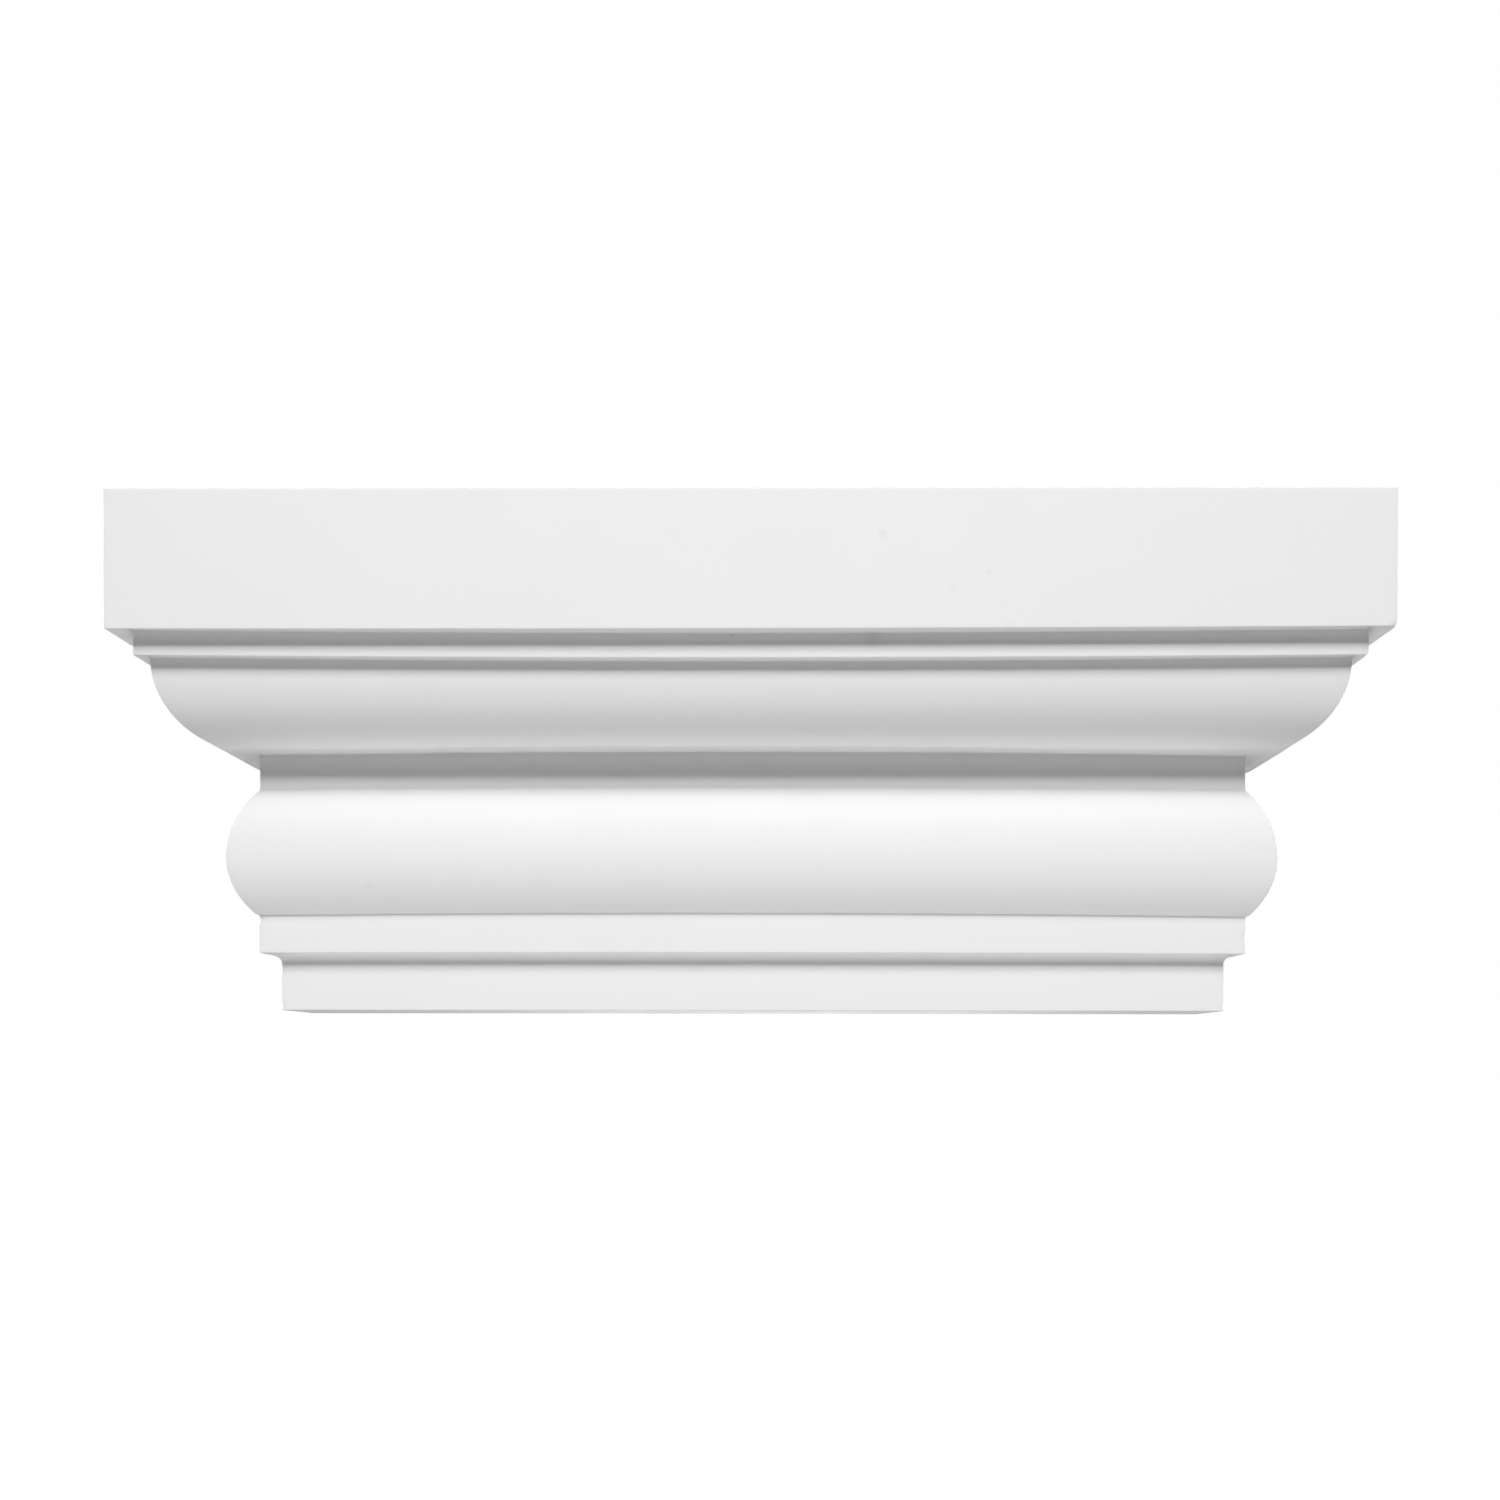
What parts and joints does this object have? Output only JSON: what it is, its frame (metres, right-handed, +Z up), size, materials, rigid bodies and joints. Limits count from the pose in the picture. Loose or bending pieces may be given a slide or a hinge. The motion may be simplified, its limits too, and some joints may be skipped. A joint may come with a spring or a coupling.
{
  "type": "pilaster capital",
  "caption": "Moulded pilaster capital with a plain abacus, fillet, ovolo, recessed neck, torus, band and fascia, mitred returns and a flat back for a wall.",
  "frame": {"origin": "centre of the flat back face, on the wall plane, midway between the seat and the top", "axes": "+X to the right of someone facing the capital, +Y into the wall, +Z up; the front looks towards -Y"},
  "size_m": [0.28, 0.0516, 0.112],
  "materials": {
    "primed_foam": "rigid polyurethane foam with a dense moulded skin, factory primed white, matt"
  },
  "bodies": {
    "root": {"capital": "primed_foam"}
  },
  "joints": []
}
